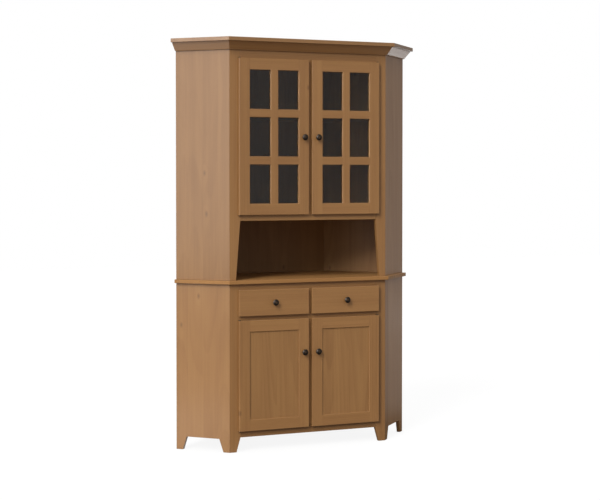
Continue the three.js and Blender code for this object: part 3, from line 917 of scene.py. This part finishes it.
def carried(profile, path, closed):
    """A profile carried along a flat path and mitred at its corners. A profile point (in, up) lands at the
    path point plus in times the corner's mitre, to the left of the path, and at height up."""
    profile, path = np.asarray(profile, dtype=float), np.asarray(path, dtype=float)
    count, around = len(path), len(profile)
    ahead = np.roll(path, -1, axis=0) - path
    ahead /= np.linalg.norm(ahead, axis=1, keepdims=True)
    if not closed:
        ahead[-1] = ahead[-2]
    behind = np.roll(ahead, 1, axis=0)
    if not closed:
        behind[0] = ahead[0]
    left = [np.stack((-run[:, 1], run[:, 0]), axis=-1) for run in (behind, ahead)]
    mitre = (left[0] + left[1]) / (1.0 + (left[0] * left[1]).sum(axis=1, keepdims=True))
    flat = path[:, None, :] + profile[None, :, :1] * mitre[:, None, :]
    up = np.broadcast_to(profile[None, :, 1:], (count, around, 1))
    points = np.concatenate((flat, up), axis=-1).reshape(-1, 3)
    row = np.arange(count if closed else count - 1)[:, None]
    walls = bands(row * around, (row + 1) % count * around, around)
    return points, [walls] + ([] if closed else lids(around, (count - 1) * around))


def slab(width, depth, height, edge, steps=3):
    """A flat block with rounded edges: each level's outline is the rectangle of the corner centres, with a
    quarter circle round each corner. The circles grow as the sine, and the level rises as one minus the
    cosine."""
    corner = np.array(((1, 1), (-1, 1), (-1, -1), (1, -1))) * ((width / 2 - edge), (depth / 2 - edge))
    arc = np.linspace(0.0, math.pi / 2, steps + 1)
    sweep = (arc + math.pi / 2 * np.arange(4)[:, None]).ravel()
    centre = np.repeat(corner, steps + 1, axis=0)
    lean = np.linspace(math.pi / 8, math.pi / 2, steps)
    circle = edge * np.concatenate((np.sin(lean), np.sin(lean[::-1])))
    rise = edge * (1.0 - np.cos(lean))
    level = np.concatenate((rise, height - rise[::-1]))
    flat = centre + circle[:, None, None] * np.stack((np.cos(sweep), np.sin(sweep)), axis=-1)
    up = np.broadcast_to(level[:, None, None], (len(level), len(sweep), 1))
    points = np.concatenate((flat, up), axis=-1).reshape(-1, 3)
    around = len(sweep)
    row = around * np.arange(len(level) - 1)[:, None]
    return points, [bands(row, row + around, around)] + lids(around, around * (len(level) - 1))


def facing(direction):
    """Three axes for a form whose own z is to point in this direction."""
    out = Vector(direction).normalized()
    aside = Vector(UP if abs(out.z) < 0.5 else ACROSS).cross(out).normalized()
    return [tuple(aside), tuple(out.cross(aside)), tuple(out)]


def moved(form, axes, place):
    """A form whose own x, y and z are laid along three axes, and its origin at a place. A mirrored one keeps
    its faces outwards."""
    points, faces = form
    axes = np.array(axes, dtype=float)
    if np.linalg.det(axes) < 0:
        faces = [face[:, ::-1] for face in faces]
    return points @ axes + np.array(place, dtype=float), faces


def piece(name, body, material, forms, rub_and_highlight=None, smooth=True):
    """Puts closed forms into one object that moves with a body. An attribute, when given, says how polished
    by hands each point is, and where a highlight is painted.
    """
    points = np.concatenate([form[0] for form in forms])
    starts = np.cumsum([0] + [len(form[0]) for form in forms])
    faces = [row.tolist() for start, form in zip(starts, forms) for group in form[1] for row in group + start]
    mesh = bpy.data.meshes.new(name)
    mesh.from_pydata(points.tolist(), [], faces)
    mesh.materials.append(material)
    mesh.polygons.foreach_set("use_smooth", [smooth] * len(faces))
    if smooth:
        mesh.set_sharp_from_angle(angle=SHARP)
    if rub_and_highlight is not None:
        mesh.attributes.new("rub_and_highlight", "FLOAT", "POINT").data.foreach_set("value", rub_and_highlight)
    made = added(name, mesh)
    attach(made, body)
    return made


def hump(share, middle, width):
    """A Gaussian hump of height 1 about a middle."""
    return np.exp(-((share - middle) / width) ** 2)


def knob(node, body):
    """A turned knob in place of a CAD one: a stepped rose, a waist that flares into the head's underside, and
    an oval dome with one fine groove. The head follows an ellipse, and the groove is a Gaussian dip in it."""
    low, high = (Vector(corner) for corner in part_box(node))
    reach = high.y - low.y
    radius = (high.x - low.x) / 2
    dome = reach * KNOB_DOME
    rose = radius * KNOB_ROSE
    neck = radius * KNOB_NECK
    start = math.acos(KNOB_UNDERSIDE * neck / radius)
    lean = np.linspace(-start, math.pi / 2, 40)
    head_r = radius * np.cos(lean)
    head_h = reach - dome + dome * np.sin(lean)
    dip = KNOB_GROOVE * hump(head_r / radius, GROOVE_PLACE, GROOVE_WIDTH)
    head_h = head_h - np.where(lean > 0.0, dip, 0.0)
    foot_h = reach * np.array(KNOB_ROSE_HEIGHTS)
    foot_r = rose * np.array(KNOB_ROSE_RADII)
    share = np.linspace(0.0, 1.0, 16)[1:-1]
    waist_h = foot_h[-1] + (head_h[0] - foot_h[-1]) * share
    waist_r = neck + (foot_r[-1] - neck) * (1.0 - share) ** 4 + (head_r[0] - neck) * share ** 3
    profile_r = np.concatenate((foot_r, waist_r, head_r[:-1], [0.0]))
    profile_h = np.concatenate((foot_h, waist_h, head_h[:-1], [reach]))
    on_dome = profile_h > reach - dome
    # The middle hump is a painted highlight; the rim hump is where hands rub the knob
    rubbed_and_highlight = sum(much * hump(profile_r / radius, place, width) for much, place, width in KNOB_WEAR_AND_HIGHLIGHT) * on_dome
    rub_and_highlight = np.concatenate((rubbed_and_highlight[:1], np.repeat(rubbed_and_highlight[1:-1], KNOB_STEPS), rubbed_and_highlight[-1:]))
    centre = (low + high) / 2
    place = (centre.x, high.y, centre.z)
    form = moved(turned(profile_r, profile_h, KNOB_STEPS), facing((0.0, -1.0, 0.0)), place)
    made = piece(node + "_turned", body, BRONZE, [form], rub_and_highlight)
    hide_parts(node)


def screw_head(radius):
    """A pan head on a washer, with a cross recess. The recess is the head's height less a constant depth
    wherever a point lies in either arm of the cross, with a steep smooth edge."""
    lean = np.linspace(0.0, math.pi / 2, 15)[:-1]
    head_r = SCREW_DOME * radius * np.cos(lean) ** SCREW_BULGE
    head_h = SCREW_FOOT * radius + SCREW_RISE * radius * np.sin(lean)
    profile_r = np.concatenate((radius * np.array(WASHER_RADII), head_r, [0.0]))
    profile_h = np.concatenate((radius * np.array(WASHER_HEIGHTS), head_h, head_h[-1:]))
    points, faces = turned(profile_r, profile_h, SCREW_STEPS)
    x = np.abs(points[:, 0]) / radius
    y = np.abs(points[:, 1]) / radius
    in_arm = np.clip((RECESS_ARM[0] - np.minimum(x, y)) / RECESS_ARM[1], 0.0, 1.0)
    in_reach = np.clip((RECESS_END[0] - np.maximum(x, y)) / RECESS_END[1], 0.0, 1.0)
    arm = in_arm * in_reach
    points[:, 2] -= RECESS_DEPTH * radius * arm * (points[:, 2] > RECESS_ABOVE * radius)
    return points, faces


def felt_pads(body, front, sides):
    """Round stuck-on pads with a softly rounded edge, behind a front. They sit near its upper and lower edge,
    at these places across."""
    lean = np.linspace(0.0, math.pi / 2, 5)[1:]
    flat = PAD_THICK - PAD_EDGE
    edge_r = PAD_RADIUS - PAD_EDGE + PAD_EDGE * np.cos(lean)
    profile_r = np.concatenate(([0.0, PAD_RADIUS, PAD_RADIUS], edge_r, [0.0]))
    profile_h = np.concatenate(([0.0, 0.0, flat], flat + PAD_EDGE * np.sin(lean), [PAD_THICK]))
    felt = turned(profile_r, profile_h, PAD_STEPS)
    (_, _, bottom), (_, back, top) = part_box(front)
    levels = (bottom + PAD_INSET, top - PAD_INSET)
    pads = [moved(felt, facing(BACKWARDS), (x, back, z)) for x in sides for z in levels]
    piece(f"{body}_pads", body, FELT, pads)


def knob_screw(body, back):
    """The screw that holds a knob, with its head on a face at this depth."""
    low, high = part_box(f"{body}_knob")
    place = ((low[0] + high[0]) / 2, back, (low[2] + high[2]) / 2)
    return moved(screw_head(KNOB_SCREW), facing(BACKWARDS), place)


def glass_beads(hand):
    """The strips that hold the pane in its rebate: a section with one rounded corner, mitred round the pane.
    Brads stand along them at an even pitch."""
    body = f"hutch_door_{hand}"
    (left, _, bottom), (right, back, top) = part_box(f"{body}_glass")
    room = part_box(f"{body}_frame")[1][1] - back - BEAD_GAP
    lean = np.linspace(0.0, math.pi / 2, 7)
    inwards = BEAD_WIDTH - room * BEAD_ROUND * (1.0 - np.cos(lean))
    outwards = room * BEAD_FLAT + room * BEAD_ROUND * np.sin(lean)
    rounded = np.stack((inwards, outwards), axis=-1)
    section = np.concatenate((((0.0, 0.0), (BEAD_WIDTH, 0.0)), rounded, ((0.0, room),)))
    around = ((left, bottom), (right, bottom), (right, top), (left, top))
    strips = moved(carried(section, around, True), ON_BACK, (0.0, back, 0.0))
    name = f"glass_beads_{hand}"
    piece(name, body, wood(name, ACROSS, UP, BEAD_SEED), [strips])
    pin = turned(np.array(BRAD_RADII) * BRAD, np.array(BRAD_HEIGHTS) * BRAD, BRAD_STEPS)
    along = np.linspace(left + BRAD_FROM_SIDE, right - BRAD_FROM_SIDE, BRADS_ACROSS)
    upwards = np.linspace(bottom + BRAD_FROM_END, top - BRAD_FROM_END, BRADS_UP)
    spots = [(x, z) for x in along for z in (bottom + BRAD_INSET, top - BRAD_INSET)]
    spots += [(x, z) for z in upwards for x in (left + BRAD_INSET, right - BRAD_INSET)]
    brads = [moved(pin, facing(BACKWARDS), (x, back + room, z)) for x, z in spots]
    piece(f"bead_brads_{hand}", body, STEEL, brads)


def cleats(shelf):
    """Strips under a shelf along the sides and backs: a section with one eased edge, carried round the
    shelf's outline from one front corner to the other. The outline is the shelf's widest, below its eased
    edge."""
    points = corners_of(shelf)
    bottom = points[:, 2].min()
    middle = np.abs(points[:, 2] - (bottom + points[:, 2].max()) / 2)
    plan = np.unique(points[middle < CLEAT_UNEASED * middle.max(), :2].round(5), axis=0)
    angle = np.arctan2(plan[:, 1], plan[:, 0])
    path = plan[np.argsort((angle + math.pi / 2) % (2 * math.pi))]
    path[0] += (path[1] - path[0]) * CLEAT_SHORT
    path[-1] += (path[-2] - path[-1]) * CLEAT_SHORT
    section = (
        (0.0, -CLEAT_DROP),
        (CLEAT_REACH - CLEAT_EASE, -CLEAT_DROP),
        (CLEAT_REACH, CLEAT_EASE - CLEAT_DROP),
        (CLEAT_REACH, -HAIR),
        (0.0, -HAIR),
    )
    form = moved(carried(section, path, False), (ACROSS, BACKWARDS, UP), (0.0, 0.0, bottom))
    name = f"{shelf}_cleats"
    piece(name, "carcass", wood(name, UP, ACROSS, CLEAT_SEED), [form], smooth=False)


def door_fittings(kind, hand):
    """What a door carries behind its frame: the knob's screw, two felt pads, and the catch's strike plate.
    The catch itself stands on the centre stile's edge, with its poles and screws."""
    body = f"{kind}_door_{hand}"
    toward = 1.0 if hand == "right" else -1.0
    knob(f"{body}_knob", body)
    (left, _, _), (right, back, top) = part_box(f"{body}_frame")
    (_, front, _), (edge, _, _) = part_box(f"{kind}_centre_stile")
    felt_pads(body, f"{body}_frame", [toward * (edge + min(abs(left), abs(right))) / 2])
    catch_z = top - CATCH_DROP
    catch_x = toward * (edge + CATCH_WIDTH / 2 + HAIR)
    plate = moved(slab(*CATCH_PLATE), ON_BACK, (catch_x, back, catch_z))
    case = moved(slab(*CATCH_CASE), ON_BACK, (catch_x, front + CATCH_INSET, catch_z))
    piece(f"{body}_catch", "carcass", PLASTIC, [case])
    bar = slab(*CATCH_POLE)
    out_x = toward * (edge + CATCH_WIDTH + HAIR)
    out_y = front + CATCH_INSET + CATCH_SCREW_BACK
    poles, screws = [], []
    for way in (-1, 1):
        poles.append(moved(bar, ON_BACK, (catch_x + way * POLE_APART, front + POLE_INSET, catch_z)))
        spot = (out_x, out_y, catch_z + way * CATCH_SCREW_APART)
        screws.append(moved(screw_head(SMALL_SCREW), facing((toward, 0.0, 0.0)), spot))
    piece(f"{body}_catch_poles", "carcass", STEEL, poles)
    piece(f"{body}_catch_screws", "carcass", STEEL, screws)
    piece(f"{body}_steelwork", body, STEEL, [knob_screw(body, back), plate])


def drawer_fittings(hand):
    """The knob's screw inside the box, and felt pads behind the front's four corners."""
    body = f"drawer_{hand}"
    knob(f"{body}_knob", body)
    (_, box_front, _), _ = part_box(f"{body}_box")
    screw = knob_screw(body, box_front + DRAWER_WALL)
    piece(f"{body}_steelwork", body, STEEL, [screw])
    (left, _, _), (right, _, _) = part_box(f"{body}_front")
    felt_pads(body, f"{body}_front", (left + PAD_RADIUS + PAD_GAP, right - PAD_RADIUS - PAD_GAP))


def rivets(kind, hand):
    """The domed heads of the hinge pins, riveted over on the outer faces of their leaves."""
    lean = np.linspace(0.0, math.pi / 2, 7)
    radii = np.concatenate(([0.0], RIVET * np.cos(lean[:-1]), [0.0]))
    heights = np.concatenate(([0.0], RIVET_RISE * np.sin(lean)))
    head = turned(radii, heights, RIVET_STEPS)
    forms = []
    for end, way in (("top", 1.0), ("bottom", -1.0)):
        low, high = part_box(f"{kind}_door_{hand}_hinge_{end}")
        outer = high[2] if way > 0 else low[2]
        place = ((low[0] + high[0]) / 2, low[1] + (high[0] - low[0]) / 2, outer)
        forms.append(moved(head, facing((0.0, 0.0, way)), place))
    piece(f"{kind}_door_{hand}_rivets", "carcass", BROWNED, forms)


def fit_out():
    for hand in ("right", "left"):
        for kind in ("hutch", "base"):
            door_fittings(kind, hand)
            rivets(kind, hand)
        drawer_fittings(hand)
        glass_beads(hand)
    for shelf in ("base_shelf", "hutch_shelf_lower", "hutch_shelf_upper"):
        cleats(shelf)


def dress(node, material):
    target = frame["nodes"][node]
    target.data.materials.clear()
    target.data.materials.append(material)


def wood_of(node, seed):
    """The wood of one CAD node, with its grain where a maker would run it."""
    side, wall, out = HANDS["right" if "right" in node else "left"]
    if node.endswith("_frame"):
        return framed_wood(node, seed, muntins="hutch" in node)
    if node.endswith("_box"):
        return drawer_wood(node, seed)
    if "wall_back" in node:
        return back_wood(node, wall, out, seed)
    if node.endswith("rear_back"):
        return back_wood(node, ACROSS, BACKWARDS, seed)
    # For most boards in the table this tone is painted light or shade, lighter or darker by how light falls
    # on them
    tone = next((tone for ending, tone in BOARD_TONES_AND_PAINTED_LIGHT.items() if node.endswith(ending)), 1.0)
    if "crown_side" in node:
        return wood(node, UP, side, seed, tone=tone)
    if "_side_" in node:
        return wood(node, side, UP, seed, stave=STAVE, contrast=SIDE_CONTRAST, tone=tone)
    if node == "counter_board":
        return wood(node, BACKWARDS, ACROSS, seed, gloss=LOW_GLOSS, stave=STAVE, tone=tone)
    if node == "crown_cap":
        return wood(node, BACKWARDS, ACROSS, seed, gloss=CAP_GLOSS, stave=STAVE, tone=tone)
    if any(word in node for word in ("floor", "shelf", "drawer_panel")):
        return wood(node, BACKWARDS, ACROSS, seed, stave=STAVE, tone=tone)
    if any(word in node for word in ("rail", "front")):
        return wood(node, UP, ACROSS, seed, tone=tone)
    if node.endswith("_panel"):
        return wood(node, ACROSS, UP, seed, stave=STAVE, tone=tone)
    return wood(node, ACROSS, UP, seed, tone=tone)


# The body that carries each CAD node
BODY_OF = {node: body for body, nodes in frame["record"]["behaviour"]["bodies"].items() for node in nodes}


def eased(node):
    """A board with its arrises taken off. The CAD board's loose triangles are joined where their corners
    share a place, flat faces are made whole, and a bevel rounds each edge to a small radius."""
    board = frame["nodes"][node].data
    joined = bmesh.new()
    joined.from_mesh(board)
    bmesh.ops.remove_doubles(joined, verts=joined.verts, dist=WELD)
    bmesh.ops.dissolve_limit(joined, angle_limit=FLAT, verts=joined.verts, edges=joined.edges)
    mesh = bpy.data.meshes.new(node + "_eased")
    joined.to_mesh(mesh)
    joined.free()
    mesh.attributes.remove(mesh.attributes["custom_normal"])
    mesh.shade_flat()
    mesh.materials.append(board.materials[0])
    made = added(node + "_eased", mesh)
    bevel = made.modifiers.new("eased_edges", "BEVEL")
    bevel.width = EASED
    bevel.segments = 2
    bevel.limit_method = "ANGLE"
    bevel.angle_limit = SHARP
    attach(made, BODY_OF[node])
    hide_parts(node)


def dress_all():
    for seed, node in enumerate(sorted(frame["nodes"])):
        if "glass" in node:
            dress(node, PANE)
        elif "knob" in node:
            dress(node, BRONZE)
        elif "hinge" in node:
            dress(node, BROWNED)
        else:
            dress(node, wood_of(node, seed))
            if "back" not in node:
                eased(node)


bpy.context.scene.view_settings.view_transform = "Standard"

# Glass, knobs, screws and plates, browned hinge leaves, pads, and the cases of the catches
PANE = glass()
BRONZE = metal("knob_bronze", BRONZE_DARK, BRONZE_WORN_AND_HIGHLIGHT, polished=0.34, dull=0.50, metallic=0.9)
STEEL = metal("hinge_steel", STEEL_DULL, STEEL_CLEAN, polished=0.25, dull=0.45, metallic=1.0)
BROWNED = metal("hinge_browned", BROWNED_DARK, BROWNED_WORN, polished=0.35, dull=0.55, metallic=0.9)
FELT = matt("bumper_felt", FELT_COLOUR, grain=2600.0, roughness=0.95)
PLASTIC = matt("catch_plastic", PLASTIC_COLOUR, grain=900.0, roughness=0.45)
camera()
studio()
floor()
for lamp_name, lamp_looks in LAMPS.items():
    lamp(lamp_name, *lamp_looks)
dress_all()
fit_out()
